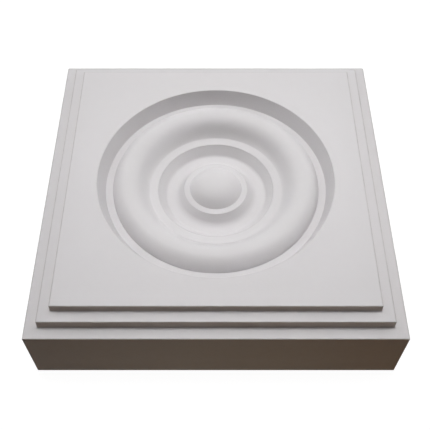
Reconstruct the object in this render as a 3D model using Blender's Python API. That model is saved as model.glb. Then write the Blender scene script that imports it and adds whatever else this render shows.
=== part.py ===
"""Rosette block for a door or window casing.

A square block whose front steps in twice to a flat face, with a turned rosette
sunk into that face. The block lies on its back: the back is the plane z = 0, the
face looks up, and the origin is the middle of the back. Lengths are in metres.
"""

import math

import bmesh
import bpy
from mathutils import Vector
from mathutils.geometry import interpolate_bezier

# The block: a square body and two shallow steps up to its face.
BLOCK_SIDE = 0.0889
BODY_THICKNESS = 0.0180
LOWER_LEDGE = 0.0031
LOWER_RISE = 0.0024
UPPER_LEDGE = 0.0030
UPPER_RISE = 0.0020
ARRIS_ROUND = 0.00023
FACE_MARGIN = 0.00765

# Levels in the rosette, as depths below the face.
OUTER_FILLET_DEPTH = 0.0042
RING_CREST_DEPTH = 0.0013
INNER_FILLET_DEPTH = 0.0058
POCKET_DEPTH = 0.0084
BUTTON_DEPTH = 0.0025

# Radii of the turned bands, as shares of the rosette's radius.
WALL_FOOT = 0.945
RING_OUTSIDE = 0.883
RING_CREST = 0.774
RING_INSIDE = 0.568
POCKET_EDGE = 0.498
POCKET_FOOT = 0.430
BOSS_FOOT = 0.335
BOSS_EDGE = 0.274
BUTTON_EDGE = 0.224

# Coves where the pocket's wall and the boss's side meet its floor, as shares too.
POCKET_COVE = 0.034
BOSS_COVE = 0.070

# How far each curve keeps the direction it starts and ends in, as shares of its width
# or its height: the button's dome, and the ring's ogee and fall.
BUTTON_CROWN = 0.60
BUTTON_LEAN = 0.20
BUTTON_SHOULDER = 0.60
OGEE_START = 0.31
OGEE_LIFT = 0.27
OGEE_SWELL = 0.68
FALL_SWELL = 0.48
FALL_DROP = 0.38

# How finely the round forms are cut into flats.
TURN_STEPS = 96
RING_STEPS = 8
COVE_STEPS = 3
DOME_STEPS = 7
ARRIS_STEPS = 2
CUTTER_OVERRUN = 0.002

FACE_HALF = BLOCK_SIDE / 2 - LOWER_LEDGE - UPPER_LEDGE
FACE_LEVEL = BODY_THICKNESS + LOWER_RISE + UPPER_RISE
ROSETTE_RADIUS = FACE_HALF - FACE_MARGIN


def clear_scene():
    for item in list(bpy.data.objects):
        bpy.data.objects.remove(item, do_unlink=True)


def at(share, depth):
    """A point of the turned outline: x is its radius and z its level."""
    return Vector((share * ROSETTE_RADIUS, 0.0, FACE_LEVEL - depth))


def curve(start, start_handle, end_handle, end, steps):
    return interpolate_bezier(start, start_handle, end_handle, end, steps + 1)


def cove(before, corner, after, radius):
    """A hollow arc of the given radius in place of a corner of the outline."""
    toward_start = (before - corner).normalized()
    toward_end = (after - corner).normalized()
    half_angle = toward_start.angle(toward_end) / 2
    reach = radius / math.tan(half_angle)
    middle = (toward_start + toward_end).normalized()
    centre = corner + middle * (radius / math.sin(half_angle))
    first = corner + toward_start * reach - centre
    last = corner + toward_end * reach - centre
    turns = [first.slerp(last, step / COVE_STEPS) for step in range(COVE_STEPS + 1)]
    return [centre + radius * turn for turn in turns]


def button_outline():
    """The button, a flattened dome from its top on the axis to its foot."""
    top = at(0.0, BUTTON_DEPTH)
    foot = at(BUTTON_EDGE, INNER_FILLET_DEPTH)
    height = top.z - foot.z
    crown = top + Vector((BUTTON_CROWN * foot.x, 0.0, 0.0))
    shoulder = foot + Vector((-BUTTON_LEAN * foot.x, 0.0, BUTTON_SHOULDER * height))
    return curve(top, crown, shoulder, foot, DOME_STEPS)


def pocket_outline():
    """The boss's flat edge, the pocket around it and the flat fillet beyond."""
    boss_edge = at(BOSS_EDGE, INNER_FILLET_DEPTH)
    boss_foot = at(BOSS_FOOT, POCKET_DEPTH)
    wall_foot = at(POCKET_FOOT, POCKET_DEPTH)
    wall_top = at(POCKET_EDGE, INNER_FILLET_DEPTH)
    boss_cove = cove(boss_edge, boss_foot, wall_foot, BOSS_COVE * ROSETTE_RADIUS)
    wall_cove = cove(boss_foot, wall_foot, wall_top, POCKET_COVE * ROSETTE_RADIUS)
    return [boss_edge] + boss_cove + wall_cove + [wall_top]


def ring_outline():
    """The raised ring: an ogee up to its crest and a rounded fall outside it."""
    inside = at(RING_INSIDE, INNER_FILLET_DEPTH)
    crest = at(RING_CREST, RING_CREST_DEPTH)
    outside = at(RING_OUTSIDE, OUTER_FILLET_DEPTH)
    inner_width = crest.x - inside.x
    inner_rise = crest.z - inside.z
    outer_width = outside.x - crest.x
    outer_fall = crest.z - outside.z
    ogee_foot = inside + Vector((OGEE_START * inner_width, 0.0, OGEE_LIFT * inner_rise))
    ogee_head = crest - Vector((OGEE_SWELL * inner_width, 0.0, 0.0))
    fall_head = crest + Vector((FALL_SWELL * outer_width, 0.0, 0.0))
    fall_foot = outside + Vector((0.0, 0.0, FALL_DROP * outer_fall))
    inner_side = curve(inside, ogee_foot, ogee_head, crest, RING_STEPS)
    outer_side = curve(crest, fall_head, fall_foot, outside, RING_STEPS)
    return inner_side + outer_side[1:]


def rim_outline():
    """The fillet's outer edge and the sloping wall, run on past the face."""
    foot = at(WALL_FOOT, OUTER_FILLET_DEPTH)
    rim = at(1.0, 0.0)
    overrun = rim + (rim - foot) * (CUTTER_OVERRUN / (rim.z - foot.z))
    return [foot, overrun]


def rosette_outline():
    """The whole turned outline, from the axis out to above the rim."""
    return button_outline() + pocket_outline() + ring_outline() + rim_outline()


def stepped_block():
    """The block without its rosette, with its outer corners a little rounded."""
    mesh = bmesh.new()
    bmesh.ops.create_cube(mesh, size=1.0)
    bmesh.ops.scale(mesh, vec=(BLOCK_SIDE, BLOCK_SIDE, BODY_THICKNESS), verts=mesh.verts)
    bmesh.ops.translate(mesh, vec=(0.0, 0.0, BODY_THICKNESS / 2), verts=mesh.verts)
    for ledge, rise in ((LOWER_LEDGE, LOWER_RISE), (UPPER_LEDGE, UPPER_RISE)):
        top = max(mesh.faces, key=lambda face: face.calc_center_median().z)
        bmesh.ops.inset_region(mesh, faces=[top], thickness=ledge, use_even_offset=True)
        raised = bmesh.ops.extrude_face_region(mesh, geom=[top])
        corners = [item for item in raised["geom"] if isinstance(item, bmesh.types.BMVert)]
        bmesh.ops.translate(mesh, vec=(0.0, 0.0, rise), verts=corners)
        bmesh.ops.delete(mesh, geom=[top], context="FACES_ONLY")
    mesh.normal_update()
    arrises = [edge for edge in mesh.edges if is_arris(edge)]
    bmesh.ops.bevel(
        mesh, geom=arrises, offset=ARRIS_ROUND, offset_type="OFFSET",
        segments=ARRIS_STEPS, profile=0.5, affect="EDGES", clamp_overlap=True,
    )
    return as_object("rosette_block", mesh)


def is_arris(edge):
    """True for an edge that stands out, apart from the ones around the back."""
    around_back = all(corner.co.z < BODY_THICKNESS / 2 for corner in edge.verts)
    return not around_back and edge.calc_face_angle_signed() > math.radians(30)


def turned_cutter():
    """The solid that the rosette is hollowed out with, spun about the axis."""
    outline = rosette_outline()
    lid_centre = Vector((0.0, 0.0, outline[-1].z))
    mesh = bmesh.new()
    corners = [mesh.verts.new(point) for point in outline + [lid_centre]]
    edges = [mesh.edges.new(pair) for pair in zip(corners, corners[1:])]
    bmesh.ops.spin(
        mesh, geom=corners + edges, axis=(0.0, 0.0, 1.0), cent=(0.0, 0.0, 0.0),
        steps=TURN_STEPS, angle=math.tau, use_merge=True,
    )
    bmesh.ops.remove_doubles(mesh, verts=mesh.verts, dist=0.000001)
    bmesh.ops.recalc_face_normals(mesh, faces=mesh.faces)
    return as_object("rosette_cutter", mesh)


def as_object(name, mesh):
    data = bpy.data.meshes.new(name)
    mesh.to_mesh(data)
    mesh.free()
    made = bpy.data.objects.new(name, data)
    bpy.context.scene.collection.objects.link(made)
    return made


def hollow_out(block, cutter):
    """Cuts the rosette into the block and keeps the result as plain faces."""
    cut = block.modifiers.new("rosette", "BOOLEAN")
    cut.operation = "DIFFERENCE"
    cut.solver = "EXACT"
    cut.object = cutter
    bpy.context.view_layer.update()
    evaluated = block.evaluated_get(bpy.context.evaluated_depsgraph_get())
    carved = bpy.data.meshes.new_from_object(evaluated)
    block.modifiers.clear()
    block.data = carved
    bpy.data.objects.remove(cutter, do_unlink=True)


def primed_finish():
    """The matt off-white priming coat that covers the whole block."""
    coat = bpy.data.materials.new("off_white_primer")
    coat.use_nodes = True
    shader = coat.node_tree.nodes["Principled BSDF"]
    shader.inputs["Base Color"].default_value = (0.70, 0.68, 0.68, 1.0)
    shader.inputs["Roughness"].default_value = 0.75
    shader.inputs["Metallic"].default_value = 0.0
    return coat


def main():
    clear_scene()
    block = stepped_block()
    hollow_out(block, turned_cutter())
    block.data.materials.clear()
    block.data.materials.append(primed_finish())
    block.data.shade_smooth()
    block.data.set_sharp_from_angle(angle=math.radians(25))


main()
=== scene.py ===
# %% [markdown]
# # A turned rosette block, primed for painting
#
# A rosette block is the square ornament that a joiner sets where the upright and the
# head of a door casing meet, so that neither board needs a mitre. Its front steps in
# twice to a flat face, and a rosette is turned into that face: a hollow with a raised
# ring, a deeper pocket and a domed button in the middle. The block is cut from
# fibreboard and leaves the workshop under one matt off-white coat of primer.
#
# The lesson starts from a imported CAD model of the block. That model fixes the size and
# the place, and this script makes the version that is looked at.

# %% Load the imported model
import math

import bmesh
import bpy
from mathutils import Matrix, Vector
from mathutils.geometry import interpolate_bezier


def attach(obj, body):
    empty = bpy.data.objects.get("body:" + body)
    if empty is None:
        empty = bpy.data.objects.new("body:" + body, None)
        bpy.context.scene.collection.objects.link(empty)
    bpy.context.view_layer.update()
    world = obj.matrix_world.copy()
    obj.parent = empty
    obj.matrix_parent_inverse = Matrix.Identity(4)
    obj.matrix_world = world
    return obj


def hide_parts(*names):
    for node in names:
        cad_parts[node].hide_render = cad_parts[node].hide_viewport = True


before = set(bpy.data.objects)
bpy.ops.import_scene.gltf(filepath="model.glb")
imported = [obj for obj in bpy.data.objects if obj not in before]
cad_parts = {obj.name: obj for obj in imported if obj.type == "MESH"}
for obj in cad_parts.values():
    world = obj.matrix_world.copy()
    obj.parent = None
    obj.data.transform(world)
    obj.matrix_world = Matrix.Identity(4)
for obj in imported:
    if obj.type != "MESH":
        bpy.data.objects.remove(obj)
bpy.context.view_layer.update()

# %% [markdown]
# ## The camera
#
# The block is seen from in front and well above, as when it lies on a table before the
# viewer. The camera could be placed by eye, but a form of straight edges tells a wrong
# angle at once: the far edge gets too long or the front too tall. So the place and the
# lens are worked out from the block's corners, and written here in block widths.

# %% Place the camera
BLOCK_SIDE = 0.0889
CAMERA_LEFT = 0.0024
CAMERA_FORWARD = 1.2706
CAMERA_UP = 1.8545
CAMERA_PITCH = 54.89
CAMERA_LENS = 58.47

camera_data = bpy.data.cameras.new("camera")
camera_data.sensor_width = 36.0
camera_data.lens = CAMERA_LENS
camera_data.clip_start = 0.01
camera = bpy.data.objects.new("camera", camera_data)
bpy.context.scene.collection.objects.link(camera)
camera.location = BLOCK_SIDE * Vector((-CAMERA_LEFT, -CAMERA_FORWARD, CAMERA_UP))
camera.rotation_euler = (math.radians(90 - CAMERA_PITCH), 0, 0)
bpy.context.scene.camera = camera
print("camera stands", round(camera.location.length, 3), "m from the block")

# %% [markdown]
# ## Two helpers for modelling as by hand
#
# An operator works on whatever is selected, and loading the model leaves its parts
# selected. So each step first clears the selection, opens one piece for editing, and
# then picks faces or edges by where they are, as a hand would click on them.

# %% Helpers for editing
def open_for_editing(piece):
    """Puts one piece in edit mode with nothing selected, and returns its mesh."""
    bpy.ops.object.select_all(action="DESELECT")
    piece.select_set(True)
    bpy.context.view_layer.objects.active = piece
    bpy.ops.object.mode_set(mode="EDIT")
    bpy.ops.mesh.select_mode(type="VERT")
    bpy.ops.mesh.select_all(action="DESELECT")
    return bmesh.from_edit_mesh(piece.data)


def pick(piece, mesh, parts, wanted):
    """Selects, from a mesh's edges or faces, the ones for which wanted is true."""
    chosen = [part for part in parts if wanted(part)]
    for part in chosen:
        part.select_set(True)
    mesh.select_flush_mode()
    bmesh.update_edit_mesh(piece.data)
    return len(chosen)


def close_editing():
    bpy.ops.object.mode_set(mode="OBJECT")


# %% [markdown]
# ## The stepped block
#
# The real block is a square of fibreboard, run past a cutter on all four sides so that
# its face stands on two shallow steps. It could be three plates laid on each other, but
# those would leave seams, and the edges could not be softened as one. Inset and extrude
# make the same steps in one skin: the top face is drawn in by the width of a ledge, and
# what is left is lifted by the height of a riser.

# %% Inset and extrude the steps
BODY_THICKNESS = 0.0180
LOWER_LEDGE = 0.0031
LOWER_RISE = 0.0024
UPPER_LEDGE = 0.0030
UPPER_RISE = 0.0020
FACE_LEVEL = BODY_THICKNESS + LOWER_RISE + UPPER_RISE
LOWER_HALF = BLOCK_SIDE / 2 - LOWER_LEDGE
FACE_HALF = LOWER_HALF - UPPER_LEDGE

bpy.ops.object.select_all(action="DESELECT")
bpy.ops.mesh.primitive_cube_add(size=1.0, location=(0, 0, BODY_THICKNESS / 2))
block = bpy.context.object
block.name = "primed_rosette_block"
block.scale = (BLOCK_SIDE, BLOCK_SIDE, BODY_THICKNESS)
bpy.ops.object.transform_apply(location=True, rotation=True, scale=True)

mesh = open_for_editing(block)
pick(block, mesh, mesh.faces, lambda face: face.normal.z > 0.5)
for ledge, rise in ((LOWER_LEDGE, LOWER_RISE), (UPPER_LEDGE, UPPER_RISE)):
    bpy.ops.mesh.inset(thickness=ledge, use_even_offset=True)
    bpy.ops.mesh.extrude_region_move(TRANSFORM_OT_translate={"value": (0, 0, rise)})
close_editing()
print("stepped block:", len(block.data.polygons), "faces")

# %% [markdown]
# ## Softened arrises
#
# No cut edge stays perfectly sharp: sanding and a coat of primer leave it a fraction of
# a millimetre round, and that tiny round is what catches the light. A Bevel modifier
# could do it, but it would also round the inner corners and the edges around the back.
# Here only the edges that stand out are picked, by the signed angle between their faces.

# %% Bevel the arrises
ARRIS_ROUND = 0.00023
ARRIS_STEPS = 4

mesh = open_for_editing(block)
mesh.normal_update()
picked = pick(
    block, mesh, mesh.edges,
    lambda edge: edge.calc_face_angle_signed() > math.radians(30)
    and max(corner.co.z for corner in edge.verts) > BODY_THICKNESS / 2,
)
bpy.ops.mesh.bevel(offset=ARRIS_ROUND, segments=ARRIS_STEPS, affect="EDGES")
close_editing()
print("arrises softened:", picked)

# %% [markdown]
# ## The rosette's outline
#
# A rosette is turned: one profiled cutter sinks into the face and sweeps round, so every
# ring is the same outline at every angle. It could be pushed out of a dense grid, but
# only a true outline keeps the flats flat and the curves even. The outline is drawn once
# on the plane y = 0, from the axis outwards. Radii are shares of the rosette's radius
# and levels are depths below the face, so each ring has one plain number.

# %% Sizes of the rings
FACE_MARGIN = 0.00765
ROSETTE_RADIUS = FACE_HALF - FACE_MARGIN

OUTER_FILLET_DEPTH = 0.0042
RING_CREST_DEPTH = 0.0013
INNER_FILLET_DEPTH = 0.0058
POCKET_DEPTH = 0.0084
BUTTON_DEPTH = 0.0025

WALL_FOOT = 0.945
RING_OUTSIDE = 0.883
RING_CREST = 0.774
RING_INSIDE = 0.568
POCKET_EDGE = 0.498
POCKET_FOOT = 0.430
BOSS_FOOT = 0.335
BOSS_EDGE = 0.274
BUTTON_EDGE = 0.224

POCKET_COVE = 0.034
BOSS_COVE = 0.070
TURNED_ARRIS = 0.004
FILLET_COVE = 0.006

BUTTON_CROWN = 0.60
BUTTON_LEAN = 0.20
BUTTON_SHOULDER = 0.60
OGEE_START = 0.31
OGEE_LIFT = 0.27
OGEE_SWELL = 0.68
FALL_SWELL = 0.48
FALL_DROP = 0.38

TURN_STEPS = 256
CURVE_STEPS = 24
ROUND_STEPS = 7
CUTTER_OVERRUN = 0.002
print("rosette radius in mm:", round(ROSETTE_RADIUS * 1000, 2))

# %% Helpers for drawing the outline
def at(share, depth):
    """A point of the outline: x is its radius and z its level."""
    return Vector((share * ROSETTE_RADIUS, 0.0, FACE_LEVEL - depth))


def arc(centre, first, last, steps):
    """Points round a centre from one spoke to another."""
    radius = first.length
    turns = [first.slerp(last, step / steps) for step in range(steps + 1)]
    return [centre + radius * turn.normalized() for turn in turns]


def rounded(before, corner, after, share, steps=ROUND_STEPS):
    """An arc in place of a corner, with its radius as a share of the rosette's."""
    radius = share * ROSETTE_RADIUS
    back = (before - corner).normalized()
    ahead = (after - corner).normalized()
    half_angle = back.angle(ahead) / 2
    reach = radius / math.tan(half_angle)
    centre = corner + (back + ahead).normalized() * (radius / math.sin(half_angle))
    first = corner + back * reach - centre
    last = corner + ahead * reach - centre
    return arc(centre, first, last, steps)


# %% [markdown]
# ### From the button to the pocket
#
# The button is a dome, a little flatter on top than a ball would be. A Bezier curve
# draws it: one handle keeps the crown level, the other sets how steeply it comes down.
# It sits on a narrow flat edge, from which the boss falls steeply and runs out in a soft
# hollow. The pocket's floor rises again in a tighter hollow to the inner fillet. Edges
# that stand out get a tiny round, as the arrises outside did.

# %% Button, boss and pocket
button_top = at(0.0, BUTTON_DEPTH)
button_foot = at(BUTTON_EDGE, INNER_FILLET_DEPTH)
button_height = button_top.z - button_foot.z
crown = button_top + Vector((BUTTON_CROWN * button_foot.x, 0.0, 0.0))
shoulder_drop = Vector((-BUTTON_LEAN * button_foot.x, 0.0, BUTTON_SHOULDER * button_height))
shoulder = button_foot + shoulder_drop
outline = interpolate_bezier(button_top, crown, shoulder, button_foot, CURVE_STEPS + 1)

boss_edge = at(BOSS_EDGE, INNER_FILLET_DEPTH)
boss_foot = at(BOSS_FOOT, POCKET_DEPTH)
pocket_foot = at(POCKET_FOOT, POCKET_DEPTH)
pocket_edge = at(POCKET_EDGE, INNER_FILLET_DEPTH)
ring_inside = at(RING_INSIDE, INNER_FILLET_DEPTH)
outline += rounded(button_foot, boss_edge, boss_foot, TURNED_ARRIS)
outline += rounded(boss_edge, boss_foot, pocket_foot, BOSS_COVE)
outline += rounded(boss_foot, pocket_foot, pocket_edge, POCKET_COVE)
outline += rounded(pocket_foot, pocket_edge, ring_inside, TURNED_ARRIS)
print("button height in mm:", round(button_height * 1000, 2))

# %% [markdown]
# ### The raised ring
#
# The ring is an ogee on its inner side: it leaves the fillet in a shallow hollow and
# swells over to a soft crest, then falls steeply outside. Two Bezier curves draw it, and
# their handles say how long each end keeps its direction. Both have a level handle at
# the crest, so the two sides meet there without a ridge.

# %% The ring and the wall
ring_crest = at(RING_CREST, RING_CREST_DEPTH)
ring_outside = at(RING_OUTSIDE, OUTER_FILLET_DEPTH)
inner = ring_crest - ring_inside
outer = ring_outside - ring_crest
ogee_foot = ring_inside + Vector((OGEE_START * inner.x, 0.0, OGEE_LIFT * inner.z))
ogee_head = ring_crest - Vector((OGEE_SWELL * inner.x, 0.0, 0.0))
fall_head = ring_crest + Vector((FALL_SWELL * outer.x, 0.0, 0.0))
fall_foot = ring_outside - Vector((0.0, 0.0, FALL_DROP * outer.z))
points = CURVE_STEPS + 1
outline += interpolate_bezier(ring_inside, ogee_foot, ogee_head, ring_crest, points)
outline += interpolate_bezier(ring_crest, fall_head, fall_foot, ring_outside, points)[1:]

wall_foot = at(WALL_FOOT, OUTER_FILLET_DEPTH)
rim = at(1.0, 0.0)
above_rim = rim + (rim - wall_foot) * (CUTTER_OVERRUN / (rim.z - wall_foot.z))
outline += rounded(ring_outside, wall_foot, above_rim, FILLET_COVE)
outline += [above_rim, Vector((0.0, 0.0, above_rim.z))]
print("outline has", len(outline), "points")

# %% [markdown]
# ## Turning and cutting
#
# Spin turns the outline round the axis into a solid, as the lathe would. That solid is
# everything the cutter takes away, so a Boolean difference leaves the rosette. Bridging
# the square face to the round rim by hand would work as well, but the Boolean keeps the
# face one clean flat. Spin leaves doubles at the axis and where the turn closes, so they
# are merged, and then the normals are made to face outwards.

# %% Spin the cutter
outline_mesh = bpy.data.meshes.new("cutter")
outline_mesh.from_pydata(outline, [(n, n + 1) for n in range(len(outline) - 1)], [])
cutter = bpy.data.objects.new("cutter", outline_mesh)
bpy.context.scene.collection.objects.link(cutter)
open_for_editing(cutter)
bpy.ops.mesh.select_all(action="SELECT")
bpy.ops.mesh.spin(steps=TURN_STEPS, angle=math.tau, center=(0, 0, 0), axis=(0, 0, 1))
bpy.ops.mesh.select_all(action="SELECT")
bpy.ops.mesh.remove_doubles(threshold=0.000001)
bpy.ops.mesh.normals_make_consistent(inside=False)
close_editing()
print("cutter:", len(cutter.data.polygons), "faces")

# %% Cut the rosette
hollow = block.modifiers.new("rosette", "BOOLEAN")
hollow.operation = "DIFFERENCE"
hollow.solver = "EXACT"
hollow.object = cutter
bpy.ops.object.select_all(action="DESELECT")
block.select_set(True)
bpy.context.view_layer.objects.active = block
bpy.ops.object.modifier_apply(modifier=hollow.name)
bpy.data.objects.remove(cutter, do_unlink=True)
print("carved block:", len(block.data.polygons), "faces")

# %% [markdown]
# ## The rim and the shading
#
# The rim, where the wall meets the face, was made by the Boolean and is still sharp, so
# it gets the same small round as the other arrises. Then the block is shaded smooth up
# to an angle. Smooth shading alone would let the big flats darken towards their edges,
# because they share normals with the small rounds. The Weighted Normal modifier gives
# each shared normal to the larger face, so the flats stay flat.

# %% Round the rim and smooth
RIM_ROUND = 0.00015
RIM_STEPS = 3
SMOOTH_UP_TO = 35

def on_rim(edge):
    """True for an edge of the circle where the rosette's wall meets the face."""
    return all(
        abs(corner.co.z - FACE_LEVEL) < 0.00001
        and abs(corner.co.xy.length - ROSETTE_RADIUS) < 0.0001
        for corner in edge.verts
    )


mesh = open_for_editing(block)
picked = pick(block, mesh, mesh.edges, on_rim)
bpy.ops.mesh.bevel(offset=RIM_ROUND, segments=RIM_STEPS, affect="EDGES")
close_editing()
bpy.ops.object.shade_smooth_by_angle(angle=math.radians(SMOOTH_UP_TO))
weighted = block.modifiers.new("weighted", "WEIGHTED_NORMAL")
weighted.keep_sharp = True
bpy.ops.object.modifier_apply(modifier=weighted.name)
block.data.calc_loop_triangles()
print("rim edges:", picked, "triangles:", len(block.data.loop_triangles))

# %% [markdown]
# ## Shader maths as sums
#
# The finish is worked out from the place on the block, with a good deal of arithmetic.
# Wiring Math nodes by hand hides that arithmetic, so a small class wraps a socket and
# lets Python's own signs add the nodes. Its node method adds any other kind.

# %% A socket that can be used in sums
class Shade:
    """A shader socket that can be added, multiplied and so on, as a number can."""

    tree = None

    def __init__(self, socket):
        self.socket = socket

    @classmethod
    def node(cls, kind, settings, sockets, output=0):
        """Adds a node, makes its settings, feeds its sockets and gives one output."""
        made = cls.tree.nodes.new(kind)
        for name, value in settings.items():
            setattr(made, name, value)
        for name, value in sockets.items():
            if isinstance(value, Shade):
                cls.tree.links.new(value.socket, made.inputs[name])
            else:
                made.inputs[name].default_value = value
        return cls(made.outputs[output])

    @classmethod
    def maths(cls, operation, first, second=0.0):
        return cls.node("ShaderNodeMath", {"operation": operation}, {0: first, 1: second})

    def __add__(self, other):
        return Shade.maths("ADD", self, other)

    def __radd__(self, other):
        return Shade.maths("ADD", other, self)

    def __sub__(self, other):
        return Shade.maths("SUBTRACT", self, other)

    def __rsub__(self, other):
        return Shade.maths("SUBTRACT", other, self)

    def __mul__(self, other):
        return Shade.maths("MULTIPLY", self, other)

    def __rmul__(self, other):
        return Shade.maths("MULTIPLY", other, self)

    def __pow__(self, power):
        return Shade.maths("POWER", self, power)

    def __abs__(self):
        return Shade.maths("ABSOLUTE", self)


def ramp(value, start, end):
    """A smooth rise from 0 at start to 1 at end; it falls when end is the smaller."""
    falling = end < start
    edges = {"Value": value, "From Min": min(start, end), "From Max": max(start, end)}
    risen = Shade.node("ShaderNodeMapRange", {"interpolation_type": "SMOOTHSTEP"}, edges)
    return 1.0 - risen if falling else risen


def noise(place, per_metre, detail=2.0, roughness=0.5):
    """Smooth noise from -1 to 1 with so many blots to a metre."""
    sockets = {
        "Vector": place, "Scale": per_metre, "Detail": detail, "Roughness": roughness,
    }
    return Shade.node("ShaderNodeTexNoise", {}, sockets) * 2.0 - 1.0


def blend(share, colour, other):
    """A mix of two colours, from the first at share 0 to the other at share 1."""
    sockets = {0: share, 6: colour, 7: other}
    return Shade.node("ShaderNodeMix", {"data_type": "RGBA"}, sockets, output=2)


print("shader helpers ready")

# %% [markdown]
# ## The primer
#
# Primer on fibreboard is nearly white and matt, but it isn't one flat colour. The coat
# is sprayed, so its tone drifts a little across the face and its skin has a very fine
# orange peel. In the turned rosette, the cutter leaves faint rings under the coat, and
# there the tone is a little darker, which is painted shade in the hollow. Along each
# arris a darker grey line is painted in, which is painted shade on the small rounds.
# The upright faces are mixed with a warm tan, which makes them darker and warmer.
#
# All of it reads Object coordinates, which are metres on the block itself, so each
# scale is a real one and the finish stays in place from every side.

# %% Where each part of the finish lies
ROSETTE_FADE = 0.0004

primer = bpy.data.materials.new("off_white_primer")
primer.use_nodes = True
Shade.tree = primer.node_tree
surface = primer.node_tree.nodes["Principled BSDF"]

place = Shade.node("ShaderNodeTexCoord", {}, {}, output="Object")
east = Shade.node("ShaderNodeSeparateXYZ", {}, {"Vector": place}, output="X")
north = Shade.node("ShaderNodeSeparateXYZ", {}, {"Vector": place}, output="Y")
level = Shade.node("ShaderNodeSeparateXYZ", {}, {"Vector": place}, output="Z")
radius = (east * east + north * north) ** 0.5
square = Shade.maths("MAXIMUM", abs(east), abs(north))
in_rosette = ramp(radius, ROSETTE_RADIUS, ROSETTE_RADIUS - ROSETTE_FADE)
print("rosette mask falls off over", ROSETTE_FADE * 1000, "mm")

# %% [markdown]
# ### Painted shade along the arrises
#
# An arris runs round the block at a known distance from the middle and a known level,
# and a darker line along it is painted shade. How near a point is to it is then a matter
# of two legs of a triangle, with the square distance for the steps and the radius for
# the turned edges. A coarse noise breaks the line up. An upright face lies all at one
# square distance, so that distance alone picks it out. The two risers' distances would
# draw lines across the back as well, so their marks end a little above it.

# %% Masks for the painted shade along the arrises
ARRIS_REACH = 0.00045
EVEN_ARRIS_SHADE = 0.65
PATCHY_ARRIS_SHADE = 0.35
PATCHES_PER_METRE = 420.0
TURNED_ARRIS_SHADE = 0.3
BOSS_ARRIS_SHADE = 0.4

def near(across, where, height):
    """1 on a line at that distance and level, and 0 beyond the arris's reach."""
    sideways = across - where
    upwards = level - height
    apart = (sideways * sideways + upwards * upwards) ** 0.5
    return ramp(apart, ARRIS_REACH, 0.0)


# The darker line along each arris is painted shade, on the small rounds that turn away from
# the light.
step_arrises = near(square, BLOCK_SIDE / 2, BODY_THICKNESS)
step_arrises = step_arrises + near(square, LOWER_HALF, BODY_THICKNESS + LOWER_RISE)
step_arrises = step_arrises + near(square, FACE_HALF, FACE_LEVEL)
turned_arrises = near(radius, ROSETTE_RADIUS, FACE_LEVEL)
turned_arrises = turned_arrises + near(radius, pocket_edge.x, pocket_edge.z)
turned_arrises = turned_arrises + BOSS_ARRIS_SHADE * near(radius, boss_edge.x, boss_edge.z)
patches = ramp(noise(place, PATCHES_PER_METRE, 3.0), -0.25, 0.35)
arris_shade_strength = EVEN_ARRIS_SHADE + PATCHY_ARRIS_SHADE * patches
arris_shade = (step_arrises + TURNED_ARRIS_SHADE * turned_arrises) * arris_shade_strength
# The reach is the width of the painted shade on each side of an arris.
print("arrises are worn over", ARRIS_REACH * 1000, "mm each way")

# %% Masks for the upright faces
UPRIGHT_REACH = 0.00010
UPRIGHT_CORE = 0.00003
MARKS_START = 0.004
MARKS_FULL = 0.008

def upright(where):
    """1 on the upright face that stands that far from the middle, and 0 elsewhere."""
    return ramp(abs(square - where), UPRIGHT_REACH, UPRIGHT_CORE)


off_the_back = ramp(level, MARKS_START, MARKS_FULL)
risers = (upright(LOWER_HALF) + upright(FACE_HALF)) * off_the_back
uprights = upright(BLOCK_SIDE / 2) + risers
print("risers are marked from", MARKS_FULL * 1000, "mm above the back")

# %% Colour of the primer
PRIMER_LIGHT = (0.656, 0.641, 0.652, 1.0)
PRIMER_DEEP = (0.613, 0.596, 0.603, 1.0)
ARRIS_SHADE_COLOUR = (0.36, 0.345, 0.345, 1.0)
UPRIGHT_TAN = (0.44, 0.33, 0.24, 1.0)

DRIFTS_PER_METRE = 38.0
MOTTLES_PER_METRE = 520.0
SPECKS_PER_METRE = 2600.0
EVEN_TONE = 0.30
DRIFT_TONE = 0.26
MOTTLE_TONE = 0.16
ROSETTE_SHADE_TONE = 0.12
SPECK_TONE = 0.30
ARRIS_SHADE_SHARE = 0.75
TAN_SHARE = 0.42
TAN_DRIFT = 0.06
TAN_MOTTLE = 0.05

drift = noise(place, DRIFTS_PER_METRE, 3.0)
mottle = noise(place, MOTTLES_PER_METRE, 4.0, 0.6)
speck = ramp(noise(place, SPECKS_PER_METRE, 1.0), 0.42, 0.60)
coat_tone = EVEN_TONE + DRIFT_TONE * drift + MOTTLE_TONE * mottle
# Inside the rosette the coat is made a little darker, which is painted shade in the hollow.
coat_tone = coat_tone + ROSETTE_SHADE_TONE * in_rosette + SPECK_TONE * speck
coat = blend(coat_tone, PRIMER_LIGHT, PRIMER_DEEP)
# Painted shade: the arrises are blended towards a dark grey.
arris_shaded = blend(ARRIS_SHADE_SHARE * arris_shade, coat, ARRIS_SHADE_COLOUR)
tan_share = TAN_SHARE + TAN_DRIFT * drift + TAN_MOTTLE * mottle
# The upright faces are mixed with a warm tan, which makes them darker and warmer.
colour = blend(uprights * tan_share, arris_shaded, UPRIGHT_TAN)
primer.node_tree.links.new(colour.socket, surface.inputs["Base Color"])
print("colour wired")

# %% [markdown]
# ### Skin and cutter rings
#
# The fine relief is written as real heights in metres and handed to one Bump node with
# a distance of one metre. The orange peel is a few thousandths of a millimetre high.
# The cutter rings are waves of the radius, less than half a millimetre apart, which a
# second noise lets fade in and out, and they are only in the rosette. Along the sides
# the board was run past its cutter, so there the faint chatter lies in level lines.

# %% Relief of the skin
PEEL_HEIGHT = 0.0000060
PEELS_PER_METRE = 1500.0
FIBRE_HEIGHT = 0.0000025
FIBRES_PER_METRE = 6200.0
RING_HEIGHT = 0.0000009
RINGS_PER_METRE = 2900.0
RING_WANDER = 2.0
RING_PATCHES_PER_METRE = 150.0
CHATTER_HEIGHT = 0.0000012
CHATTER_PER_METRE = 110.0
CHATTER_FLATNESS = 14.0

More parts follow.
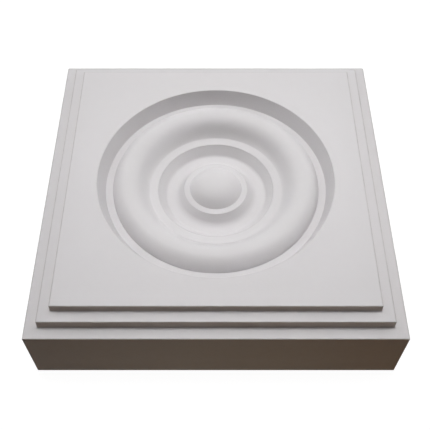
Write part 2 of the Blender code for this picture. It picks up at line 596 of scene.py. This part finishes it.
peel = noise(place, PEELS_PER_METRE, 2.0)
fibre = noise(place, FIBRES_PER_METRE, 2.0)
ring_turn = radius * (math.tau * RINGS_PER_METRE) + RING_WANDER * drift
ring_fade = ramp(noise(place, RING_PATCHES_PER_METRE, 2.0), -0.5, 0.5)
rings = Shade.maths("SINE", ring_turn) * ring_fade * in_rosette
flattened = {"Vector": place, "Scale": (1.0, 1.0, CHATTER_FLATNESS)}
stretched = Shade.node("ShaderNodeMapping", {}, flattened)
chatter = noise(stretched, CHATTER_PER_METRE, 2.0) * (1.0 - in_rosette)
height = PEEL_HEIGHT * peel + FIBRE_HEIGHT * fibre
height = height + RING_HEIGHT * rings + CHATTER_HEIGHT * chatter
bump = {"Height": height, "Distance": 1.0, "Strength": 1.0}
relief = Shade.node("ShaderNodeBump", {}, bump)
primer.node_tree.links.new(relief.socket, surface.inputs["Normal"])
print("relief wired")

# %% Roughness of the skin
ROUGHNESS = 0.66
MOTTLE_ROUGHNESS = 0.05
ROSETTE_ROUGHNESS = 0.06
ARRIS_ROUGHNESS = 0.05
SPECULAR = 0.25

roughness = ROUGHNESS + MOTTLE_ROUGHNESS * mottle
roughness = roughness + ROSETTE_ROUGHNESS * in_rosette + ARRIS_ROUGHNESS * arris_shade
primer.node_tree.links.new(roughness.socket, surface.inputs["Roughness"])
surface.inputs["Metallic"].default_value = 0.0
surface.inputs["Specular IOR Level"].default_value = SPECULAR
print("primer has", len(primer.node_tree.nodes), "nodes")

# %% Dress the block
block.data.materials.clear()
block.data.materials.append(primer)
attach(block, "root")
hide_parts("rosette_block")
print("dressed", block.name)

# %% [markdown]
# ## The studio
#
# The block lies on a pale floor that curves up into a backdrop all round, so that every
# side view has the same plain ground. The floor glows a little by itself, as a light
# table does, which keeps it near white with only a soft shadow under the block. It
# doesn't light the block: a real white floor would throw light on the front edge, and
# the front edge is the darkest part of the object here.

# %% Floor and backdrop
FLOOR_RADIUS = 1.2
FLOOR_SIDES = 96
FLOOR_CURVE = ((1.10, 0.03), (1.06, 0.10), (1.03, 0.25), (1.0, 1.8))
FLOOR_GLOW = 0.96
FLOOR_TONE = 0.12

bpy.ops.object.select_all(action="DESELECT")
bpy.ops.mesh.primitive_circle_add(
    vertices=FLOOR_SIDES, radius=FLOOR_RADIUS, fill_type="NGON",
)
floor = bpy.context.object
floor.name = "studio_floor"
mesh = open_for_editing(floor)
pick(floor, mesh, mesh.edges, lambda edge: edge.is_boundary)
for growth, lift in FLOOR_CURVE:
    bpy.ops.mesh.extrude_edges_move(TRANSFORM_OT_translate={"value": (0, 0, lift)})
    bpy.ops.transform.resize(value=(growth, growth, 1.0))
close_editing()
bpy.ops.object.shade_smooth()
floor.visible_diffuse = False
floor.visible_glossy = False
floor.visible_shadow = False

paper = bpy.data.materials.new("studio_paper")
paper.use_nodes = True
sheet = paper.node_tree.nodes["Principled BSDF"]
sheet.inputs["Base Color"].default_value = (FLOOR_TONE, FLOOR_TONE, FLOOR_TONE, 1.0)
sheet.inputs["Roughness"].default_value = 1.0
sheet.inputs["Specular IOR Level"].default_value = 0.0
sheet.inputs["Emission Color"].default_value = (1.0, 1.0, 1.0, 1.0)
sheet.inputs["Emission Strength"].default_value = FLOOR_GLOW
floor.data.materials.append(paper)
print("floor and backdrop:", len(floor.data.polygons), "faces")

# %% [markdown]
# ## The light
#
# One large soft lamp hangs almost overhead and a little behind the block. It rakes down
# the near sides of the rings, which is what models them. A smaller one beside it is
# narrowed by a grid, so that the face is brightest in the middle and falls off towards
# its corners. Weaker lamps low at the sides and behind fill the shadows, and a faint
# reddish one in front warms what faces it. The front edge gets almost nothing from
# above: only three small lamps below the floor, which stand for light thrown back by a
# table, keep it from black. They run from cool on the left to warm on the right. Such
# light can't reach the two risers, because the ledges under them are in its way.

# %% Lamps
WHITE = (1.0, 1.0, 1.0)
WARM = (1.0, 0.96, 0.79)
EMBER = (1.0, 0.46, 0.12)
GREY_BLUE = (0.90, 0.90, 1.0)
LAMP_SIZE = 0.24
LAMP_DISTANCE = 0.40
TABLE_SIZE = 0.04
SPOT_SPREAD = 34

def lamp(
    name, azimuth, elevation, power, size=LAMP_SIZE, colour=WHITE,
    distance=LAMP_DISTANCE, aim=(0.0, 0.0),
):
    """A soft disc aimed at a place on the face. Azimuth 0 is in front and 90 is right."""
    turn, climb = math.radians(azimuth), math.radians(elevation)
    level_reach = math.cos(climb)
    outward = Vector((
        math.sin(turn) * level_reach, -math.cos(turn) * level_reach, math.sin(climb),
    ))
    data = bpy.data.lights.new(name, "AREA")
    data.shape = "DISK"
    data.size = size
    data.energy = power
    data.color = colour
    made = bpy.data.objects.new(name, data)
    made.location = outward * distance + Vector((0.0, 0.0, FACE_LEVEL))
    facing = made.location - Vector((*aim, FACE_LEVEL))
    made.rotation_euler = facing.to_track_quat("Z", "Y").to_euler()
    made.visible_camera = False
    bpy.context.scene.collection.objects.link(made)
    return made


lamp("overhead", 180, 87, 0.380, size=0.22)
spot = lamp("overhead_spot", 180, 79, 0.048, size=0.18, aim=(0.005, 0.006))
spot.data.spread = math.radians(SPOT_SPREAD)
lamp("left", 270, 14, 0.275)
lamp("right", 97, 20, 0.38)
lamp("behind_right", 135, 40, 0.25)
lamp("behind_left", 225, 40, 0.34)
lamp("front", 0, 32, 0.026, colour=EMBER)
lamp("table_middle", 0, -18, 0.0076, size=TABLE_SIZE, colour=WARM, distance=0.14)
lamp("table_left", 330, -15, 0.0090, size=TABLE_SIZE, colour=GREY_BLUE, distance=0.20)
lamp("table_right", 30, -15, 0.0090, size=TABLE_SIZE, colour=EMBER, distance=0.20)

# %% The air round the block
AIR_COLOUR = (0.9, 0.95, 1.0, 1.0)
AIR_GLOW = 0.01

world = bpy.data.worlds.new("studio_air")
world.use_nodes = True
air = world.node_tree.nodes["Background"]
air.inputs["Color"].default_value = AIR_COLOUR
air.inputs["Strength"].default_value = AIR_GLOW
bpy.context.scene.world = world
bpy.context.scene.view_settings.view_transform = "Standard"
print("air glows at", AIR_GLOW)
